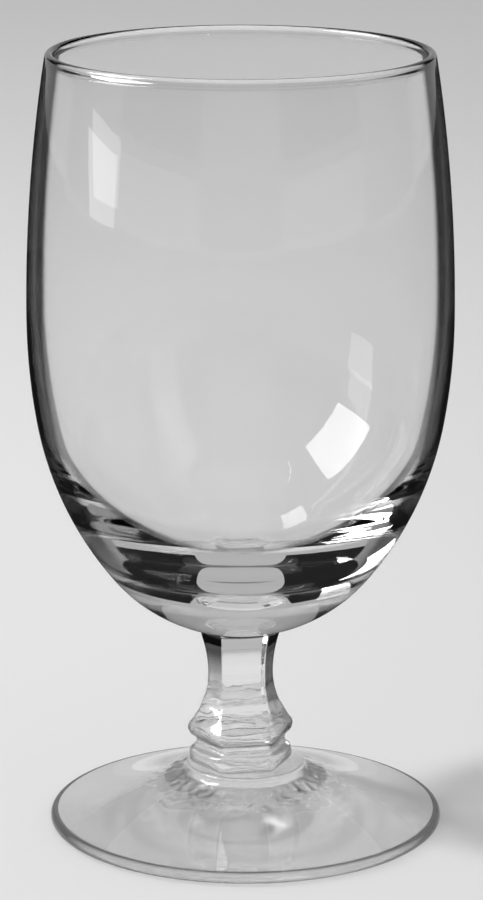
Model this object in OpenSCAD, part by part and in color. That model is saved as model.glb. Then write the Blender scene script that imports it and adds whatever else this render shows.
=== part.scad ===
// Footed juice glass in colourless glass: a round bowl, a six-sided stem and a round foot, fused hot.
// Z is up, the foot rests on the plane z = 0 and the bowl axis is the Z axis. Sizes are in millimetres.

/* [Bowl] */

// Height of the bowl from its lowest point to the lip
bowl_h = 92.65; // [84:0.05:104]
// Largest outer radius of the bowl, at the belly
belly_r = 33.36; // [30:0.02:38]
// Radius of the outer arc from the belly up to the lip
upper_arc_r = 256; // [180:1:400]
// Radius of the outer arc just below the belly
side_arc_r = 96.7; // [86:0.1:110]
// Angle through which the arc below the belly turns
side_turn = 9.76; // [7:0.02:13]
// Radius of the outer arc between the side and the base
hip_arc_r = 53.8; // [49:0.1:60]
// Radius of the round outer base
base_arc_r = 26.6; // [23:0.1:30]
// Thickness of the wall at the belly
wall = 1.35; // [1.2:0.05:2]
// Thickness of the wall just under the lip
rim_wall = 1; // [0.8:0.05:1.1]
// Thickness of the rounded lip
lip_w = 1.4; // [1.2:0.05:1.8]
// Thickness of the solid base on the axis
base_t = 9.8; // [7:0.1:13]
// Height of the widest part of the inside above the widest part of the outside
belly_rise = 2.4; // [0:0.1:5]
// Radius of the inner arc just below the belly
inner_side_r = 91.5; // [80:0.5:110]
// Radius of the flat under the base on which the stem is fused
seat_r = 7.2; // [7.15:0.05:8]

/* [Stem] */

// Height of the lowest point of the bowl above the resting plane
bowl_lift = 31.35; // [29:0.05:36]
// Height of the narrowest part of the neck
neck_z = 24.4; // [23:0.1:26]
// Half width of the neck across the two broad faces
neck_broad = 3.4; // [2.8:0.05:4.2]
// Half width of the neck across the four side faces
neck_side = 4.6; // [4:0.05:5.2]
// Half width of the stem top across the two broad faces
top_broad = 5.4; // [4.8:0.05:5.9]
// Half width of the stem top across the four side faces
top_side = 6.15; // [5.6:0.05:6.15]
// Height of the widest part of the knop
knop_z = 15.4; // [15:0.1:16.4]
// Half width of the knop across its faces
knop_half = 7.6; // [7.2:0.05:8]
// Half width of the knop across its trimmed corners
knop_corner = 8.7; // [8.2:0.05:9.2]
// Radius of the rounded nose of the knop
nose_r = 1.5; // [1.2:0.05:1.8]
// Half width of the stem at the bottom of the groove under the knop
groove_half = 6.3; // [5.9:0.05:6.6]
// Radius of the groove under the knop
groove_r = 1; // [0.8:0.05:1.3]
// Half width of the collar across its faces
collar_half = 7.75; // [7.3:0.05:8]
// Half width of the collar across its trimmed corners
collar_corner = 8.25; // [8:0.05:8.6]
// Radius of the rounded edge of the collar
collar_r = 1.4; // [1.2:0.05:1.6]

/* [Foot] */

// Radius of the foot
foot_r = 31.38; // [28:0.02:35]
// Radius of the rounded edge of the foot
edge_r = 0.85; // [0.6:0.05:1.2]
// Slope of the upper side of the foot beside its edge, in degrees
foot_slope = 9; // [6:0.5:11]
// Radius of the hollow sweep of the upper side
sweep_r = 74; // [68:1:100]
// Radius of the boss under the stem
boss_r = 9.6; // [9.4:0.05:10.4]
// Height of the top of the boss above the resting plane
boss_z = 9.5; // [9.3:0.05:9.9]
// Radius of the rounded edge of the boss
boss_edge_r = 0.5; // [0.3:0.05:0.7]
// Sideways set of the foot from the bowl axis
foot_shift = 0.8; // [0:0.1:1]

/* [Hidden] */

$fn = 240;
glass_tint = [0.86, 0.89, 0.89];
far = 400;
// Height by which neighbouring zones of a round profile lap over each other
lap = 2;
// Amount by which neighbouring arcs cross where they blend
blend = 0.004;

// Outer arcs of the bowl: centres as [radius, height], and the heights where the arcs meet
hip_run = side_arc_r - belly_r - (side_arc_r - hip_arc_r) * cos(side_turn);
hip_turn = acos(hip_run / (hip_arc_r - base_arc_r));
base_c = [0, bowl_lift + base_arc_r];
hip_c = base_c - (hip_arc_r - base_arc_r) * [cos(hip_turn), -sin(hip_turn)];
side_c = hip_c - (side_arc_r - hip_arc_r) * [cos(side_turn), -sin(side_turn)];
hip_low = hip_c.y - hip_arc_r * sin(hip_turn);
side_low = side_c.y - side_arc_r * sin(side_turn);
belly_z = side_c.y;
upper_c = [belly_r - upper_arc_r, belly_z];
rim_z = bowl_lift + bowl_h;

// Lip
lip_r = lip_w / 2 + 4 * blend;
lip_c_z = rim_z - lip_r;
rim_r = upper_c.x + sqrt(pow(upper_arc_r, 2) - pow(lip_c_z - belly_z, 2));

// Inner arcs of the bowl
inner_r = belly_r - wall;
inner_z = belly_z + belly_rise;
floor_z = bowl_lift + base_t;
inner_side_c = [inner_r - inner_side_r, inner_z];
floor_k = pow(inner_side_c.x, 2) + pow(inner_z, 2) - pow(inner_side_r + floor_z, 2);
floor_c = [0, floor_k / (2 * (inner_z - inner_side_r - floor_z))];
floor_arc_r = floor_c.y - floor_z;
floor_turn = atan2(inner_z - floor_c.y, -inner_side_c.x);
inner_side_low = inner_z - inner_side_r * sin(floor_turn);
inner_taper = inner_r - rim_r + rim_wall;
inner_upper_h = lip_c_z - inner_z;
inner_upper_r = (pow(inner_upper_h, 2) + pow(inner_taper, 2)) / (2 * inner_taper);
inner_upper_c = [inner_r - inner_upper_r, inner_z];

// Joint of bowl and stem
seat_z = base_c.y - sqrt(pow(base_arc_r, 2) - pow(seat_r, 2));
stem_reach = knop_corner + 4;

// Foot
edge_c = [foot_r - edge_r, edge_r];
sweep_way = [sin(foot_slope), cos(foot_slope)];
sweep_c = edge_c + (sweep_r + edge_r) * sweep_way;

// Half plane to the right of the axis between two heights
module right_band(low, high) {
    translate([0, low])
        square([far, high - low]);
}

// Band across the axis between two heights
module full_band(low, high) {
    translate([-far, low])
        square([2 * far, high - low]);
}

// Part of a disc to the right of the axis between two heights
module zone(centre, r, low, high) {
    intersection() {
        translate(centre)
            circle(r);
        right_band(low, high);
    }
}

// Half section of the outer form of the bowl, from the seat of the stem to the middle of the lip
module bowl_outside() {
    zone(base_c, base_arc_r, seat_z, hip_low + lap);
    zone(hip_c, hip_arc_r - blend, hip_low, side_low + lap);
    zone(side_c, side_arc_r - 2 * blend, side_low, belly_z + lap);
    zone(upper_c, upper_arc_r - 3 * blend, belly_z, lip_c_z);
}

// Half section of the room inside the bowl, open at the lip
module bowl_inside() {
    zone(floor_c, floor_arc_r, floor_z - lap, inner_side_low + lap);
    zone(inner_side_c, inner_side_r - blend, inner_side_low, inner_z + lap);
    zone(inner_upper_c, inner_upper_r - 2 * blend, inner_z, rim_z + lap);
}

// Outline of the stem across two opposite faces, with its half width at the neck and at the top
module stem_outline(neck, top) {
    up = seat_z - neck_z;
    up_r = (pow(up, 2) + pow(top - neck, 2)) / (2 * (top - neck));
    down = neck_z - knop_z;
    step = knop_half - nose_r - neck;
    down_r = (pow(step, 2) + pow(down, 2) - pow(nose_r, 2)) / (2 * (nose_r + step));
    nose_x = knop_half - nose_r;
    groove_x = groove_half + groove_r;
    groove_z = knop_z - sqrt(pow(nose_r + groove_r, 2) - pow(groove_x - nose_x, 2));
    collar_x = collar_half - collar_r;
    collar_z = groove_z - sqrt(pow(collar_r + groove_r, 2) - pow(groove_x - collar_x, 2));
    half = [
        [collar_x, boss_z],
        [collar_x, collar_z],
        [groove_x, groove_z],
        [nose_x, knop_z],
        [neck + down_r, neck_z],
        [neck + up_r, neck_z],
        [neck + up_r, seat_z]
    ];
    last = len(half) - 1;
    difference() {
        polygon(concat(half, [for (i = [0 : last]) [-half[last - i].x, half[last - i].y]]));
        for (side = [-1, 1]) {
            translate([side * groove_x, groove_z])
                circle(groove_r + blend);
            translate([side * (neck + down_r), neck_z])
                circle(down_r + blend);
            intersection() {
                translate([side * (neck + up_r), neck_z])
                    circle(up_r);
                full_band(neck_z, seat_z + lap);
            }
        }
    }
    for (side = [-1, 1]) {
        translate([side * nose_x, knop_z])
            circle(nose_r);
        intersection() {
            translate([side * collar_x, collar_z])
                circle(collar_r);
            full_band(boss_z, seat_z);
        }
    }
}

// Solid bar with that outline, its two faces square to the given direction
module stem_bar(direction, neck, top) {
    rotate([0, 0, direction])
        rotate([90, 0, 0])
            linear_extrude(2 * stem_reach, center = true)
                stem_outline(neck, top);
}

// The four side faces of the stem
module stem_sides() {
    intersection() {
        stem_bar(30, neck_side, top_side);
        stem_bar(-30, neck_side, top_side);
    }
}

// Round form that trims the corners of the collar and of the knop
module stem_trim() {
    cylinder(h = knop_z - nose_r, r = collar_corner);
    translate([0, 0, knop_z - nose_r])
        cylinder(h = seat_z, r = knop_corner);
}

module bowl() {
    color(glass_tint)
        rotate_extrude() {
            difference() {
                bowl_outside();
                bowl_inside();
            }
            translate([rim_r - lip_w / 2, lip_c_z])
                circle(lip_r);
        }
}

module stem() {
    color(glass_tint)
        intersection() {
            intersection() {
                stem_trim();
                stem_sides();
            }
            stem_bar(90, neck_broad, top_broad);
        }
}

module foot() {
    color(glass_tint)
        translate([foot_shift, 0, 0])
            rotate_extrude() {
                difference() {
                    polygon([
                        [0, 0],
                        [edge_c.x, 0],
                        edge_c,
                        edge_c + 2 * boss_z * sweep_way,
                        [0, 2 * boss_z]
                    ]);
                    translate(sweep_c)
                        circle(sweep_r + blend);
                    right_band(boss_z - boss_edge_r, far);
                }
                translate(edge_c)
                    circle(edge_r);
                square([boss_r, boss_z - boss_edge_r]);
                square([boss_r - boss_edge_r, boss_z]);
                translate([boss_r - boss_edge_r, boss_z - boss_edge_r])
                    circle(boss_edge_r);
            }
}

bowl();
stem();
foot();
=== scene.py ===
"""Looks of the footed juice glass: smooth glass pieces, a pale floor, soft light and a camera."""

import math

import bpy
import numpy as np
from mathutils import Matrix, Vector, noise


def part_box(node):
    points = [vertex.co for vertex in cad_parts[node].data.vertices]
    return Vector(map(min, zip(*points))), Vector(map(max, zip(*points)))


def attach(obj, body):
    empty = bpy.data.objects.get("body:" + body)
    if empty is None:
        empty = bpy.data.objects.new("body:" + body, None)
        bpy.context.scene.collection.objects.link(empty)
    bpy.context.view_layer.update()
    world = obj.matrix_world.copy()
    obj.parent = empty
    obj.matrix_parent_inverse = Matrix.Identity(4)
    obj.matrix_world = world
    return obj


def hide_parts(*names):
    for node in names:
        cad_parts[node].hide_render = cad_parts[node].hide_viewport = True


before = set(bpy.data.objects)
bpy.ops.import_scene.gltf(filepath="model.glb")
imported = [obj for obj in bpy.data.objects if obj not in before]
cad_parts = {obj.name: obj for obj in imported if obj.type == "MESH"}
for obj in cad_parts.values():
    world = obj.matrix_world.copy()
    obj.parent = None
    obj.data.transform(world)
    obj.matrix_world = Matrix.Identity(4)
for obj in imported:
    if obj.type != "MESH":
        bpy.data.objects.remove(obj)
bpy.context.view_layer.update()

# Sizes are in millimetres, and are scaled to metres where points are made
MM = 0.001
SEGMENTS = 288
ANGLES = np.arange(SEGMENTS) * 2 * math.pi / SEGMENTS
bowl_low, bowl_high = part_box("bowl")
foot_low, foot_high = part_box("foot")

# Bowl, with the sizes of the part's source
RIM_Z = bowl_high.z / MM
BELLY_R = bowl_high.x / MM
SEAT_Z = bowl_low.z / MM
BOWL_LIFT = 31.35
UPPER_ARC_R = 256.0
SIDE_ARC_R = 96.7
SIDE_TURN = math.radians(9.76)
HIP_ARC_R = 53.8
BASE_ARC_R = 26.6
WALL = 1.35
RIM_WALL = 1.0
LIP_W = 1.4
LIP_FILLET = 1.2
BASE_T = 9.8
BELLY_RISE = 2.4
INNER_SIDE_R = 91.5
BASE_C = (0.0, BOWL_LIFT + BASE_ARC_R)
HIP_RUN = SIDE_ARC_R - BELLY_R - (SIDE_ARC_R - HIP_ARC_R) * math.cos(SIDE_TURN)
HIP_TURN = math.acos(HIP_RUN / (HIP_ARC_R - BASE_ARC_R))

# Stem, with the sizes of the part's source
NECK_Z = 24.4
NECK_BROAD, NECK_SIDE = 3.4, 4.6
TOP_BROAD, TOP_SIDE = 5.4, 6.15
KNOP_Z = 15.4
KNOP_HALF = 7.6
KNOP_CORNER = 8.7
NOSE_R = 1.5
GROOVE_HALF = 6.3
GROOVE_R = 1.0
COLLAR_HALF = 7.75
COLLAR_CORNER = 8.25
COLLAR_R = 1.4
GROOVE_RUN = GROOVE_HALF + GROOVE_R - KNOP_HALF + NOSE_R
GROOVE_Z = KNOP_Z - math.sqrt((NOSE_R + GROOVE_R) ** 2 - GROOVE_RUN ** 2)
COLLAR_RUN = GROOVE_HALF + GROOVE_R - COLLAR_HALF + COLLAR_R
COLLAR_Z = GROOVE_Z - math.sqrt((COLLAR_R + GROOVE_R) ** 2 - COLLAR_RUN ** 2)
# Melted top of the stem: its radius where it meets the round base, and the height of its flare
JOINT_R = 6.5
JOINT_Z = BASE_C[1] - math.sqrt(BASE_ARC_R ** 2 - JOINT_R ** 2)
TOP_FLARE = 0.9
# Sharpness of the edges between the faces, where a higher power is sharper
EDGE_POWER = 36
LEAST_FACING = 0.1
# Flatness of the faces at the knop, and the heights above it between which they turn fully flat
KNOP_FLAT = 0.9
FLAT_START, FLAT_END = 1.0, 6.0
# Unevenness of the pressed glass: its depth, its measure around and up the stem, and where it eases off
WAVE = 0.2
WAVE_AROUND, WAVE_UP = 2.0, 1.6
WAVE_END, WAVE_EASE = 2.0, 0.5

# Foot, with the sizes of the part's source
FOOT_R = (foot_high.x - foot_low.x) / 2 / MM
FOOT_SHIFT = (foot_high.x + foot_low.x) / 2 / MM
BOSS_Z = foot_high.z / MM
EDGE_R = 0.85
FOOT_SLOPE = math.radians(9)
SWEEP_R = 74.0
BOSS_R = 9.6
BOSS_ROUND = 0.6
BOSS_ROUND_END = 0.15
BOSS_FOOT = 0.35
UNDER_R = 0.8
# Folds in the glass around the boss: depth, where they fade in and out, and size, share and seed of each
FOLD_DEPTH = 0.32
FOLD_EASE = 1.5
FOLD_FADE, FOLD_END = 12.0, 17.0
FOLDS = ((2.6, 1.0, 1.7), (1.1, 0.8, 8.2))

# Zones of the foot that have a glass of their own: a rougher underside, and a rim and folds with their
# own painted edge shade
FLAT_Z = 0.02
RIM_BAND = 1.2
FOLD_R = 13.0

# Painted edge shade of the glass: grey levels of its colour, from where it is seen square on, at 0, to
# where it is seen along its surface, at 1
GLASS_COLOUR = (0.985, 0.99, 0.99, 1)
GLASS_IOR = 1.52
GRAIN_SCALE, GRAIN_DETAIL = 260, 3
RIPPLE_SCALE, RIPPLE_DETAIL, RIPPLE_DEPTH = 90, 2, 0.0002
NOISE_LOW, NOISE_HIGH = 0.35, 0.75
OUTER_PAINTED_SHADE = ((0.0, 0.945), (0.58, 0.93), (0.64, 0.04), (0.8, 0.008), (1.0, 0.015))
INNER_PAINTED_SHADE = ((0.0, 0.945), (0.70, 0.92), (0.735, 0.04), (1.0, 0.02))
STEM_PAINTED_SHADE = ((0.0, 1.0), (0.32, 1.0), (0.42, 0.025), (1.0, 0.02))
KNOP_PAINTED_SHADE = ((0.0, 1.0), (0.42, 1.0), (0.64, 0.08), (1.0, 0.03))
FOOT_PAINTED_SHADE = ((0.0, 1.0), (0.85, 1.0), (0.90, 0.05), (1.0, 0.02))
RIM_PAINTED_SHADE = ((0.0, 1.0), (0.3, 0.8), (0.5, 0.06), (1.0, 0.015))
FOLD_PAINTED_SHADE = ((0.0, 1.0), (0.38, 1.0), (0.60, 0.2), (1.0, 0.2))
# Share of the lamp's light that passes through a surface
BODY_SHADE = ((0.0, 0.9), (0.5, 0.75), (1.0, 0.1))
FOOT_SHADE = ((0.0, 1.0), (0.6, 0.98), (1.0, 0.3))
# Heights between which the painted shade at the edges grows to its full strength
OUTER_RISE = (36, 52)
INNER_RISE = (43, 47)
STEM_RISE = (12, 28)

# Stage, as the camera stands: azimuths count from straight behind the glass
TURN = math.radians(-9)
FLOOR_Z, FLOOR_HALF = -0.2, 6000.0
FLOOR_TONE, FLOOR_TONE_UNDER_KEY = 0.80, 0.30
FILL, SKY, ROOM_DARK = 0.50, 0.50, 0.015
KEY_AZ, KEY_EL = math.radians(-95), math.radians(42)
KEY_FAR, KEY_SIZE, KEY_LIGHT = 1100.0, 140.0, 0.49
# Windows that show in the glass: azimuth, elevation, width, height and brightness
WINDOWS = (
    (math.radians(-95), math.radians(35.5), 640.0, 600.0, 12.0),
    (math.radians(-94), math.radians(4), 620.0, 108.0, 3.0),
)
# Pale panels around the glass: azimuth and distance of the middle, half width, height and brightness
PANELS = (
    (0.0, 1100.0, 480.0, 3000.0, 0.5),
    (math.pi / 2, 1100.0, 400.0, 900.0, 0.30),
    (math.pi, 1100.0, 440.0, 900.0, 0.3),
    (-math.pi / 2, 1100.0, 400.0, 900.0, 0.30),
)
# Low pale walls that close the gaps between the panels
WALL_FAR, WALL_HALF, WALL_TOP, WALL_LEVEL = 1250.0, 760.0, 150.0, 0.5
# Pale ring just under the bowl that lights the foot from above
ROOF_IN, ROOF_OUT, ROOF_Z, ROOF_LEVEL = 36.0, 400.0, 29.0, 0.38
CEILING_Z, CEILING_HALF, CEILING_LEVEL = 2500.0, 1000.0, 0.4
# Dark ring above the foot for outer reflections
SHEET_IN, SHEET_OUT, SHEET_Z = 10.0, 6000.0, 13.0
RING_POINTS = 65

# Camera: focal length in pixels of a picture of the given height, place and tilt
FOCAL_PIXELS, PICTURE_HEIGHT, SENSOR = 3684.0, 900, 36
CAMERA_AWAY, CAMERA_SIDE, CAMERA_Z = 561.7, 0.143, 204.24
CAMERA_TILT = math.radians(14.3175)
CLIP_START = 0.01


def smooth(low, high, value):
    """Smooth step from 0 at low to 1 at high."""
    share = np.clip((value - low) / (high - low), 0, 1)
    return share * share * (3 - 2 * share)


def arc(centre, radius, start, end, steps):
    """Points of an arc as (radius, height), without its last point."""
    turns = np.linspace(start, end, steps, endpoint=False)
    return [(centre[0] + radius * math.cos(t), centre[1] + radius * math.sin(t)) for t in turns]


def step_back(centre, run, turn):
    """Centre of the next larger arc that meets an arc smoothly at a turn below the level."""
    return centre[0] - run * math.cos(turn), centre[1] + run * math.sin(turn)


def crossing(c0, r0, c1, r1):
    """Lower point where two circles cross."""
    gap = math.dist(c0, c1)
    along = (r0 ** 2 - r1 ** 2 + gap ** 2) / (2 * gap)
    off = math.sqrt(r0 ** 2 - along ** 2)
    ux, uz = (c1[0] - c0[0]) / gap, (c1[1] - c0[1]) / gap
    middle = (c0[0] + along * ux, c0[1] + along * uz)
    ends = [(middle[0] + s * off * uz, middle[1] - s * off * ux) for s in (-1, 1)]
    return min(ends, key=lambda end: end[1])


def direction(start, end):
    """Turn from one point of a section to another, from 0 to a full turn."""
    return math.atan2(end[1] - start[1], end[0] - start[0]) % (2 * math.pi)


def ring(radius, z, shift=0.0):
    """One ring of points around the axis, in metres."""
    radius = np.broadcast_to(np.asarray(radius, float), (SEGMENTS,))
    height = np.broadcast_to(np.asarray(z, float), (SEGMENTS,))
    return np.stack([shift + radius * np.cos(ANGLES), radius * np.sin(ANGLES), height], axis=1) * MM


def piece_from_rings(name, rings, start_cap, end_cap):
    """Closed mesh through rings of points. A cap is (its point, True where it lies in a fused joint)."""
    points = list(map(tuple, np.concatenate(rings)))
    last = (len(rings) - 1) * SEGMENTS
    faces = []
    for low in range(0, last, SEGMENTS):
        high = low + SEGMENTS
        for j in range(SEGMENTS):
            k = (j + 1) % SEGMENTS
            faces.append((low + j, low + k, high + k, high + j))
    joint_faces = [0] * len(faces)
    for (point, joint), base, flip in ((start_cap, 0, True), (end_cap, last, False)):
        tip = len(points)
        points.append(tuple(np.asarray(point) * MM))
        for j in range(SEGMENTS):
            k = (j + 1) % SEGMENTS
            a, b = (base + k, base + j) if flip else (base + j, base + k)
            faces.append((a, b, tip))
            joint_faces.append(1 if joint else 0)
    mesh = bpy.data.meshes.new(name)
    mesh.from_pydata(points, [], faces)
    mesh.polygons.foreach_set("use_smooth", [True] * len(faces))
    mesh.polygons.foreach_set("material_index", joint_faces)
    mesh.update()
    piece = bpy.data.objects.new(name, mesh)
    bpy.context.scene.collection.objects.link(piece)
    return piece


def middle_of(points):
    """Point on the axis, in millimetres, at the mean height of a ring."""
    return 0, 0, float(points[:, 2].mean()) / MM


def bowl_profile(start_r):
    """Section of the bowl from a radius under its base, over the lip, to the middle of its floor."""
    hip_c = step_back(BASE_C, HIP_ARC_R - BASE_ARC_R, HIP_TURN)
    side_c = step_back(hip_c, SIDE_ARC_R - HIP_ARC_R, SIDE_TURN)
    belly_z = side_c[1]
    upper_c = (BELLY_R - UPPER_ARC_R, belly_z)
    lip_r = LIP_W / 2
    lip_z = RIM_Z - lip_r
    upper_turn = math.asin((lip_z - belly_z) / (UPPER_ARC_R - lip_r))
    lip_c = (upper_c[0] + (UPPER_ARC_R - lip_r) * math.cos(upper_turn), lip_z)
    inner_r = BELLY_R - WALL
    inner_z = belly_z + BELLY_RISE
    floor_z = BOWL_LIFT + BASE_T
    side_in_c = (inner_r - INNER_SIDE_R, inner_z)
    floor_k = side_in_c[0] ** 2 + inner_z ** 2 - (INNER_SIDE_R + floor_z) ** 2
    floor_c = (0.0, floor_k / (2 * (inner_z - INNER_SIDE_R - floor_z)))
    floor_turn = math.atan2(inner_z - floor_c[1], -side_in_c[0])
    taper = inner_r - lip_c[0] - lip_r + RIM_WALL
    height = lip_z - inner_z
    upper_in_r = (height ** 2 + taper ** 2) / (2 * taper)
    upper_in_c = (inner_r - upper_in_r, inner_z)
    fillet_c = crossing(lip_c, lip_r + LIP_FILLET, upper_in_c, upper_in_r - LIP_FILLET)
    ease_turn = direction(upper_in_c, fillet_c)
    points = arc(BASE_C, BASE_ARC_R, -math.acos(start_r / BASE_ARC_R), -HIP_TURN, 36)
    points += arc(hip_c, HIP_ARC_R, -HIP_TURN, -SIDE_TURN, 32)
    points += arc(side_c, SIDE_ARC_R, -SIDE_TURN, 0, 14)
    points += arc(upper_c, UPPER_ARC_R, 0, upper_turn, 24)
    points += arc(lip_c, lip_r, upper_turn, direction(lip_c, fillet_c), 24)
    points += arc(fillet_c, LIP_FILLET, direction(fillet_c, lip_c), ease_turn, 8)
    points += arc(upper_in_c, upper_in_r, ease_turn, 0, 24)
    points += arc(side_in_c, INNER_SIDE_R, 0, -floor_turn, 28)
    points += arc(floor_c, floor_c[1] - floor_z, -floor_turn, -math.pi / 2, 48)
    return points + [(0.0, floor_z)]


def build_bowl(joint):
    """Bowl from the ring where the stem is fused, with its inner faces on their own material."""
    profile = bowl_profile(JOINT_R)
    rings = [joint] + [ring(r, z) for r, z in profile[1:-1]]
    floor_tip = (0, 0, profile[-1][1])
    piece = piece_from_rings("bowl_glass", rings, (middle_of(joint), True), (floor_tip, False))
    for face in piece.data.polygons:
        inward = face.normal.x * face.center.x + face.normal.y * face.center.y < 0
        if inward and face.center.z > (BOWL_LIFT + BASE_T / 2) * MM:
            face.material_index = 2
    return piece


def stem_half(z, neck, top):
    """Half width of the stem across two opposite faces at a height."""
    up = SEAT_Z - NECK_Z
    up_r = (up ** 2 + (top - neck) ** 2) / (2 * (top - neck))
    step = KNOP_HALF - NOSE_R - neck
    down = NECK_Z - KNOP_Z
    down_r = (step ** 2 + down ** 2 - NOSE_R ** 2) / (2 * (NOSE_R + step))
    if z >= NECK_Z:
        return neck + up_r - math.sqrt(up_r ** 2 - (z - NECK_Z) ** 2)
    if z >= KNOP_Z + down * NOSE_R / (NOSE_R + down_r):
        return neck + down_r - math.sqrt(down_r ** 2 - (z - NECK_Z) ** 2)
    if z >= GROOVE_Z + (KNOP_Z - GROOVE_Z) * GROOVE_R / (GROOVE_R + NOSE_R):
        return KNOP_HALF - NOSE_R + math.sqrt(max(0.0, NOSE_R ** 2 - (z - KNOP_Z) ** 2))
    if z >= COLLAR_Z + (GROOVE_Z - COLLAR_Z) * COLLAR_R / (COLLAR_R + GROOVE_R):
        return GROOVE_HALF + GROOVE_R - math.sqrt(max(0.0, GROOVE_R ** 2 - (z - GROOVE_Z) ** 2))
    return COLLAR_HALF - COLLAR_R + math.sqrt(max(0.0, COLLAR_R ** 2 - (z - COLLAR_Z) ** 2))


def stem_radius(z):
    """Radius of the stem at a height for every angle: six faces with rounded edges, in a round limit."""
    broad = stem_half(z, NECK_BROAD, TOP_BROAD)
    side = stem_half(z, NECK_SIDE, TOP_SIDE)
    flat = KNOP_FLAT + (1 - KNOP_FLAT) * smooth(KNOP_Z + FLAT_START, KNOP_Z + FLAT_END, z)
    corner = 1 / math.cos(math.pi / 6)
    knop_share = smooth(KNOP_Z - NOSE_R, KNOP_Z + NOSE_R, z)
    limit = COLLAR_CORNER + (KNOP_CORNER - COLLAR_CORNER) * knop_share
    limit += (JOINT_R - limit) * smooth(NECK_Z, JOINT_Z - TOP_FLARE, z)
    total = np.full(SEGMENTS, (1 / limit) ** EDGE_POWER)
    for k in range(6):
        half = side if k % 3 else broad
        facing = np.cos(ANGLES - math.pi / 2 - k * math.pi / 3)
        slant = 1 / np.maximum(facing, LEAST_FACING) - 1
        bulge = (1 + flat * (corner - 1)) / (corner * (1 + flat * slant))
        total += np.where(facing > LEAST_FACING, bulge / half, 0) ** EDGE_POWER
    radius = total ** (-1 / EDGE_POWER)
    flare = np.clip((z - JOINT_Z + TOP_FLARE) / TOP_FLARE, 0, 1)
    radius += (JOINT_R - radius) * (1 - np.sqrt(1 - flare ** 2))
    unevenness = WAVE * (1 - smooth(KNOP_Z + WAVE_END, NECK_Z, z)) * smooth(BOSS_Z, BOSS_Z + WAVE_EASE, z)
    spots = [Vector((WAVE_AROUND * math.cos(a), WAVE_AROUND * math.sin(a), z / WAVE_UP)) for a in ANGLES]
    return radius + unevenness * np.array([noise.noise(spot) for spot in spots])


def stem_rings():
    """Rings of the stem from the foot's boss up to the round base of the bowl."""
    collar_turns = np.linspace(0, math.pi / 2, 10)[:-1]
    flare_turns = np.linspace(0, math.pi / 2, 12)[1:]
    heights = list(COLLAR_Z - COLLAR_R * np.cos(collar_turns))
    heights += list(np.linspace(COLLAR_Z, NECK_Z, 110))
    heights += list(np.linspace(NECK_Z, JOINT_Z - TOP_FLARE, 40)[1:])
    heights += list(JOINT_Z - TOP_FLARE + TOP_FLARE * np.sin(flare_turns))
    return [ring(stem_radius(z), max(z, BOSS_Z)) for z in heights]


def build_stem(rings):
    return piece_from_rings(
        "stem_glass", rings, (middle_of(rings[0]), True), (middle_of(rings[-1]), True))


def foot_profile():
    """Section of the foot from the edge of its boss, over its upper side and edge, to the underside."""
    edge_c = (FOOT_R - EDGE_R, EDGE_R)
    reach = SWEEP_R + EDGE_R
    sweep_c = (edge_c[0] + reach * math.sin(FOOT_SLOPE), edge_c[1] + reach * math.cos(FOOT_SLOPE))
    sweep_start = math.pi + math.acos((sweep_c[0] - BOSS_R - BOSS_FOOT) / SWEEP_R)
    boss_c = (BOSS_R - BOSS_ROUND, BOSS_Z - BOSS_ROUND)
    points = arc(boss_c, BOSS_ROUND, math.pi / 2, BOSS_ROUND_END, 10)
    points += arc(sweep_c, SWEEP_R, sweep_start, 1.5 * math.pi - FOOT_SLOPE, 90)
    points += arc(edge_c, EDGE_R, math.pi / 2 - FOOT_SLOPE, -math.pi / 2, 16)
    return points + [(r, 0.0) for r in np.linspace(edge_c[0], UNDER_R, 40)]


def folded(points, r):
    """A ring of the foot with the uneven folds of the glass around the boss."""
    share = smooth(BOSS_R, BOSS_R + FOLD_EASE, r) * (1 - smooth(FOLD_FADE, FOLD_END, r))
    if share <= 0 or points[0, 2] <= 0:
        return points
    for point in points:
        x, y = point[0] / MM, point[1] / MM
        fold = sum(part * noise.noise(Vector((x / size, y / size, seed))) for size, part, seed in FOLDS)
        point[2] += FOLD_DEPTH * share * fold * MM
    return points


def build_foot(joint):
    """Foot from the ring where the stem is fused, with materials of their own for three zones."""
    profile = foot_profile()
    first_r, first_z = profile[0]
    joint_r = np.hypot(joint[:, 0], joint[:, 1]) / MM
    rings = [joint]
    for share in np.linspace(0, 1, 8)[1:-1]:
        rings.append(ring(joint_r + (first_r - joint_r) * share, first_z, FOOT_SHIFT * share))
    rings += [folded(ring(r, z, FOOT_SHIFT), r) for r, z in profile]
    under_tip = (FOOT_SHIFT, 0, 0)
    piece = piece_from_rings("foot_glass", rings[::-1], (under_tip, False), (middle_of(joint), True))
    for face in piece.data.polygons:
        out = math.hypot(face.center.x / MM - FOOT_SHIFT, face.center.y / MM)
        if face.center.z < FLAT_Z * MM:
            face.material_index = 2
        elif out > FOOT_R - RIM_BAND:
            face.material_index = 3
        elif BOSS_R < out < FOLD_R:
            face.material_index = 4
    return piece


def new_material(name):
    """Empty node material with its output node."""
    material = bpy.data.materials.new(name)
    material.use_nodes = True
    tree = material.node_tree
    tree.nodes.clear()
    return material, tree, tree.nodes.new("ShaderNodeOutputMaterial")


def noise_between(tree, scale, detail, low, high):
    """Noise in the piece's own coordinates, spread between two values."""
    place = tree.nodes.new("ShaderNodeTexCoord")
    grain = tree.nodes.new("ShaderNodeTexNoise")
    grain.inputs["Scale"].default_value = scale
    grain.inputs["Detail"].default_value = detail
    spread = tree.nodes.new("ShaderNodeMapRange")
    spread.inputs["From Min"].default_value = NOISE_LOW
    spread.inputs["From Max"].default_value = NOISE_HIGH
    spread.inputs["To Min"].default_value = low
    spread.inputs["To Max"].default_value = high
    tree.links.new(place.outputs["Object"], grain.inputs["Vector"])
    tree.links.new(grain.outputs["Fac"], spread.inputs["Value"])
    return spread.outputs["Result"]


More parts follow.
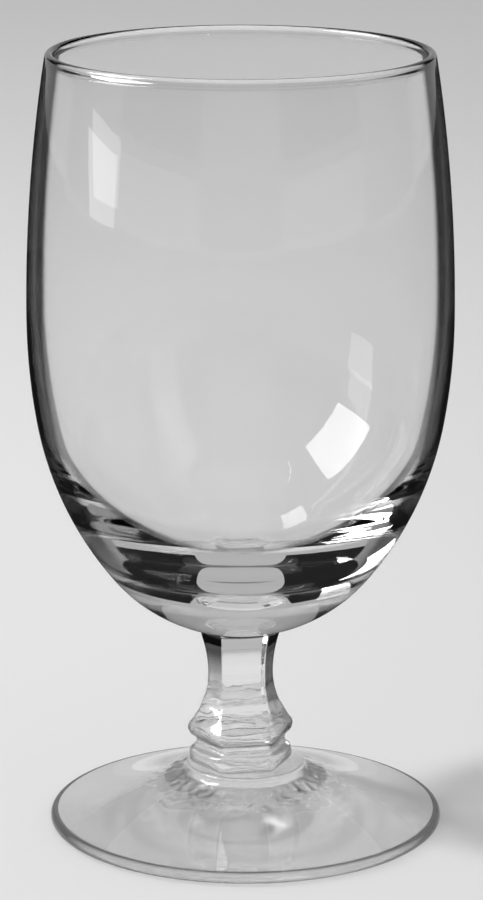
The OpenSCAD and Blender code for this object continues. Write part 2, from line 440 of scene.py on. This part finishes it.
def edge_ramp(tree, stops):
    """Grey level that follows how steeply the glass is looked at, from square on to along the surface:
    painted edge shade in the glass colour, or the share of the lamp's light let through.
    """
    facing = tree.nodes.new("ShaderNodeLayerWeight")
    facing.inputs["Blend"].default_value = 0.5
    ramp = tree.nodes.new("ShaderNodeValToRGB")
    while len(ramp.color_ramp.elements) < len(stops):
        ramp.color_ramp.elements.new(0.5)
    for stop, (place, level) in zip(ramp.color_ramp.elements, stops):
        stop.position = place
        stop.color = (level, level, level, 1)
    tree.links.new(facing.outputs["Facing"], ramp.inputs["Fac"])
    return ramp.outputs["Color"]


def above(tree, low, high):
    """Share that grows from 0 to 1 between two heights."""
    place = tree.nodes.new("ShaderNodeTexCoord")
    split = tree.nodes.new("ShaderNodeSeparateXYZ")
    share = tree.nodes.new("ShaderNodeMapRange")
    share.inputs["From Min"].default_value = low * MM
    share.inputs["From Max"].default_value = high * MM
    tree.links.new(place.outputs["Object"], split.inputs["Vector"])
    tree.links.new(split.outputs["Z"], share.inputs["Value"])
    return share.outputs["Result"]


def rising_painted_shade(tree, painted_shade, rise, below):
    """Painted edge shade that grows with height, from a plain grey or from another painted shade ramp
    below.
    """
    part = tree.nodes.new("ShaderNodeMixRGB")
    plain = painted_shade[0][1]
    part.inputs["Color1"].default_value = (plain, plain, plain, 1)
    if below:
        tree.links.new(edge_ramp(tree, below), part.inputs["Color1"])
    tree.links.new(above(tree, *rise), part.inputs["Fac"])
    tree.links.new(edge_ramp(tree, painted_shade), part.inputs["Color2"])
    return part.outputs["Color"]


def glass_material(name, rough, ripple, painted_shade=None, rise=None, below=None, shade=BODY_SHADE):
    """Colourless glass with a range of roughness, a faint ripple, painted shade in its colour where it is
    seen along its surface when a ramp is given, and a shadow deepest at its edges.
    """
    material, tree, out = new_material(name)
    glass = tree.nodes.new("ShaderNodeBsdfPrincipled")
    glass.inputs["Base Color"].default_value = GLASS_COLOUR
    glass.inputs["IOR"].default_value = GLASS_IOR
    glass.inputs["Transmission Weight"].default_value = 1.0
    tree.links.new(noise_between(tree, GRAIN_SCALE, GRAIN_DETAIL, *rough), glass.inputs["Roughness"])
    bump = tree.nodes.new("ShaderNodeBump")
    bump.inputs["Strength"].default_value = ripple
    bump.inputs["Distance"].default_value = RIPPLE_DEPTH
    tree.links.new(noise_between(tree, RIPPLE_SCALE, RIPPLE_DETAIL, 0, 1), bump.inputs["Height"])
    tree.links.new(bump.outputs["Normal"], glass.inputs["Normal"])
    # Painted shade: the glass colour darkens where the glass is seen along its surface
    if rise:
        tree.links.new(rising_painted_shade(tree, painted_shade, rise, below), glass.inputs["Base Color"])
    elif painted_shade:
        tree.links.new(edge_ramp(tree, painted_shade), glass.inputs["Base Color"])
    through = tree.nodes.new("ShaderNodeBsdfTransparent")
    tree.links.new(edge_ramp(tree, shade), through.inputs["Color"])
    path = tree.nodes.new("ShaderNodeLightPath")
    mix = tree.nodes.new("ShaderNodeMixShader")
    tree.links.new(path.outputs["Is Shadow Ray"], mix.inputs["Fac"])
    tree.links.new(glass.outputs["BSDF"], mix.inputs[1])
    tree.links.new(through.outputs["BSDF"], mix.inputs[2])
    tree.links.new(mix.outputs["Shader"], out.inputs["Surface"])
    return material


def fused_joint():
    """Face inside the fused glass, where nothing is seen."""
    material, tree, out = new_material("fused_joint")
    through = tree.nodes.new("ShaderNodeBsdfTransparent")
    tree.links.new(through.outputs["BSDF"], out.inputs["Surface"])
    return material


def in_view(point):
    """A point given to the right, away and up as the camera stands, in metres of the frame."""
    x, y, z = point
    return Vector((
        (x * math.cos(TURN) - y * math.sin(TURN)) * MM,
        (x * math.sin(TURN) + y * math.cos(TURN)) * MM,
        z * MM))


def polar(azimuth, elevation, far):
    """A point at a distance from the origin, its azimuth counted from straight behind the glass."""
    level = far * math.cos(elevation)
    return level * math.sin(azimuth), level * math.cos(azimuth), far * math.sin(elevation)


def circle(r, z):
    """Closed row of points around the axis."""
    turns = np.linspace(0, 2 * math.pi, RING_POINTS)
    return [in_view((r * math.sin(t), r * math.cos(t), z)) for t in turns]


def square(half, z):
    """Two rows of points, front and back, of a level square."""
    return [[in_view((x, y, z)) for x in (-half, half)] for y in (-half, half)]


def strip(name, first, second, material, shown_to):
    """Stage item between two rows of points, shown only to the named kinds of rays."""
    count = len(first)
    faces = [(i, i + 1, count + i + 1, count + i) for i in range(count - 1)]
    mesh = bpy.data.meshes.new(name)
    mesh.from_pydata([tuple(p) for p in first] + [tuple(p) for p in second], [], faces)
    mesh.materials.append(material)
    item = bpy.data.objects.new(name, mesh)
    bpy.context.scene.collection.objects.link(item)
    item.visible_camera = "camera" in shown_to
    item.visible_diffuse = "diffuse" in shown_to
    item.visible_glossy = "glossy" in shown_to
    item.visible_transmission = "transmission" in shown_to
    item.visible_shadow = "shadow" in shown_to


def by_ray(tree, seen, lighting):
    """One level for what the camera sees, also in the glass, and another for the light on the floor."""
    path = tree.nodes.new("ShaderNodeLightPath")
    scattered = tree.nodes.new("ShaderNodeMath")
    scattered.operation = "GREATER_THAN"
    scattered.inputs[1].default_value = 0.5
    choice = tree.nodes.new("ShaderNodeMix")
    choice.inputs["A"].default_value = seen
    choice.inputs["B"].default_value = lighting
    tree.links.new(path.outputs["Diffuse Depth"], scattered.inputs[0])
    tree.links.new(scattered.outputs["Value"], choice.inputs["Factor"])
    return choice.outputs["Result"], path


def glow(name, level, seen_from=None):
    """Plain light of one level in the glass, which lights the floor no more than the room does.

    With a side to be seen from, above or below, it lets everything through from the other side.
    """
    material, tree, out = new_material(name)
    light = tree.nodes.new("ShaderNodeEmission")
    strength, _ = by_ray(tree, level, FILL)
    tree.links.new(strength, light.inputs["Strength"])
    if seen_from is None:
        tree.links.new(light.outputs["Emission"], out.inputs["Surface"])
        return material
    clear = tree.nodes.new("ShaderNodeBsdfTransparent")
    side = tree.nodes.new("ShaderNodeNewGeometry")
    choice = tree.nodes.new("ShaderNodeMixShader")
    upper, lower = (light, clear) if seen_from == "above" else (clear, light)
    tree.links.new(side.outputs["Backfacing"], choice.inputs["Fac"])
    tree.links.new(upper.outputs[0], choice.inputs[1])
    tree.links.new(lower.outputs[0], choice.inputs[2])
    tree.links.new(choice.outputs["Shader"], out.inputs["Surface"])
    return material


def build_floor():
    """Pale paper, graded darker under the lamp so that it looks evenly pale from every side."""
    material, tree, out = new_material("floor_paper")
    surface = tree.nodes.new("ShaderNodeBsdfDiffuse")
    under_key = in_view(polar(KEY_AZ, KEY_EL, KEY_FAR))
    place = tree.nodes.new("ShaderNodeTexCoord")
    away = tree.nodes.new("ShaderNodeVectorMath")
    away.operation = "DISTANCE"
    away.inputs[1].default_value = (under_key.x, under_key.y, FLOOR_Z * MM)
    tone = tree.nodes.new("ShaderNodeMapRange")
    tone.inputs["From Max"].default_value = KEY_FAR * math.cos(KEY_EL) * MM
    tone.inputs["To Min"].default_value = FLOOR_TONE_UNDER_KEY
    tone.inputs["To Max"].default_value = FLOOR_TONE
    tree.links.new(place.outputs["Object"], away.inputs[0])
    tree.links.new(away.outputs["Value"], tone.inputs["Value"])
    tree.links.new(tone.outputs["Result"], surface.inputs["Color"])
    tree.links.new(surface.outputs["BSDF"], out.inputs["Surface"])
    rows = square(FLOOR_HALF, FLOOR_Z)
    strip("floor", *rows, material, ("camera", "diffuse", "glossy", "transmission", "shadow"))


def build_dark_sheet():
    """Dark ring above the foot, only for outer reflections, so that bowl and stem keep dark edges."""
    rows = circle(SHEET_IN, SHEET_Z), circle(SHEET_OUT, SHEET_Z)
    strip("dark_sheet", *rows, glow("dark_sheet", ROOM_DARK, "above"), ("glossy",))


def build_roof():
    """Pale ring under the bowl that lights the foot from above and lets everything from above through."""
    rows = circle(ROOF_IN, ROOF_Z), circle(ROOF_OUT, ROOF_Z)
    strip("roof", *rows, glow("roof", ROOF_LEVEL, "below"), ("glossy", "transmission"))


def build_ceiling():
    """Pale ceiling high above the glass."""
    rows = square(CEILING_HALF, CEILING_Z)
    strip("ceiling", *rows, glow("ceiling", CEILING_LEVEL), ("glossy", "transmission"))


def build_panel(name, azimuth, far, half, top, level):
    """An upright pale panel standing on the floor, square to its azimuth."""
    away = Vector((math.sin(azimuth), math.cos(azimuth), 0)) * far
    across = Vector((math.cos(azimuth), -math.sin(azimuth), 0)) * half
    ends = (away - across, away + across)
    rows = [[in_view((end.x, end.y, z)) for end in ends] for z in (FLOOR_Z, top)]
    strip(name, *rows, glow(name, level), ("glossy", "transmission"))


def build_window(name, azimuth, elevation, width, height, level):
    """A bright card that faces the glass."""
    centre = in_view(polar(azimuth, elevation, KEY_FAR))
    facing = centre.normalized()
    across = facing.cross(Vector((0, 0, 1))).normalized() * width / 2 * MM
    up = across.cross(facing).normalized() * height / 2 * MM
    low = [centre - across - up, centre + across - up]
    high = [centre - across + up, centre + across + up]
    strip(name, low, high, glow(name, level), ("glossy", "transmission"))


def build_key():
    """Soft lamp that gives the shadow. In the glass the windows stand for it."""
    light = bpy.data.lights.new("key", "AREA")
    light.size = KEY_SIZE * MM
    light.energy = KEY_LIGHT * (math.pi * KEY_FAR * MM) ** 2 / math.sin(KEY_EL)
    lamp = bpy.data.objects.new("key", light)
    lamp.location = in_view(polar(KEY_AZ, KEY_EL, KEY_FAR))
    lamp.rotation_euler = lamp.location.to_track_quat("Z", "Y").to_euler()
    lamp.visible_glossy = False
    lamp.visible_transmission = False
    bpy.context.scene.collection.objects.link(lamp)


def build_world():
    """Room with one level for the fill light, one for what the glass shows and one for the backdrop."""
    world = bpy.data.worlds.new("room")
    bpy.context.scene.world = world
    world.use_nodes = True
    tree = world.node_tree
    background = tree.nodes["Background"]
    background.inputs["Color"].default_value = (1, 1, 1, 1)
    level, path = by_ray(tree, ROOM_DARK, FILL)
    sky = tree.nodes.new("ShaderNodeMix")
    sky.inputs["B"].default_value = SKY
    tree.links.new(level, sky.inputs["A"])
    tree.links.new(path.outputs["Is Camera Ray"], sky.inputs["Factor"])
    tree.links.new(sky.outputs["Result"], background.inputs["Strength"])
    world.cycles.sampling_method = "NONE"


def build_stage():
    build_floor()
    build_dark_sheet()
    build_roof()
    build_ceiling()
    for number, panel in enumerate(PANELS):
        build_panel(f"panel_{number}", *panel)
    for number in range(4):
        diagonal = math.pi / 4 + number * math.pi / 2
        build_panel(f"low_wall_{number}", diagonal, WALL_FAR, WALL_HALF, WALL_TOP, WALL_LEVEL)
    for number, window in enumerate(WINDOWS):
        build_window(f"window_{number}", *window)
    build_key()
    build_world()


def build_camera():
    data = bpy.data.cameras.new("camera")
    data.sensor_fit = "VERTICAL"
    data.sensor_height = SENSOR
    data.lens = FOCAL_PIXELS * SENSOR / PICTURE_HEIGHT
    data.clip_start = CLIP_START
    camera = bpy.data.objects.new("camera", data)
    bpy.context.scene.collection.objects.link(camera)
    camera.location = in_view((CAMERA_SIDE, -CAMERA_AWAY, CAMERA_Z))
    camera.rotation_euler = (math.pi / 2 - CAMERA_TILT, 0, TURN)
    bpy.context.scene.camera = camera


def set_light_paths():
    """Enough bounces for light to pass through every wall of the glass."""
    settings = bpy.context.scene.cycles
    settings.max_bounces = 32
    settings.glossy_bounces = 24
    settings.transmission_bounces = 32
    settings.transparent_max_bounces = 24
    settings.caustics_refractive = True
    settings.caustics_reflective = True


stem_sections = stem_rings()
stem = build_stem(stem_sections)
bowl = build_bowl(stem_sections[-1])
foot = build_foot(stem_sections[0])

# Materials in the order of the faces' material numbers; all but the fused joints and the foot's underside
# have painted edge shade in their colour
joint_face = fused_joint()
bowl_materials = (
    glass_material("bowl_outside", (0.0, 0.004), 0.02, OUTER_PAINTED_SHADE, OUTER_RISE),
    joint_face,
    glass_material("bowl_inside", (0.0, 0.004), 0.02, INNER_PAINTED_SHADE, INNER_RISE),
)
stem_materials = (
    glass_material("stem_glass", (0.0, 0.01), 0.06, STEM_PAINTED_SHADE, STEM_RISE, KNOP_PAINTED_SHADE),
    joint_face,
)
foot_materials = (
    glass_material("foot_glass", (0.0, 0.02), 0.02, FOOT_PAINTED_SHADE, shade=FOOT_SHADE),
    joint_face,
    glass_material("foot_underside", (0.13, 0.20), 0.02, shade=FOOT_SHADE),
    glass_material("foot_rim", (0.0, 0.01), 0.02, RIM_PAINTED_SHADE, shade=FOOT_SHADE),
    glass_material("foot_folds", (0.0, 0.01), 0.06, FOLD_PAINTED_SHADE, shade=FOOT_SHADE),
)
looks = (
    (bowl, "bowl", bowl_materials),
    (stem, "stem", stem_materials),
    (foot, "foot", foot_materials),
)
for piece, node, materials in looks:
    for material in materials:
        piece.data.materials.append(material)
    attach(piece, "root")
    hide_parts(node)

build_stage()
build_camera()
set_light_paths()
bpy.context.scene.view_settings.view_transform = "Standard"
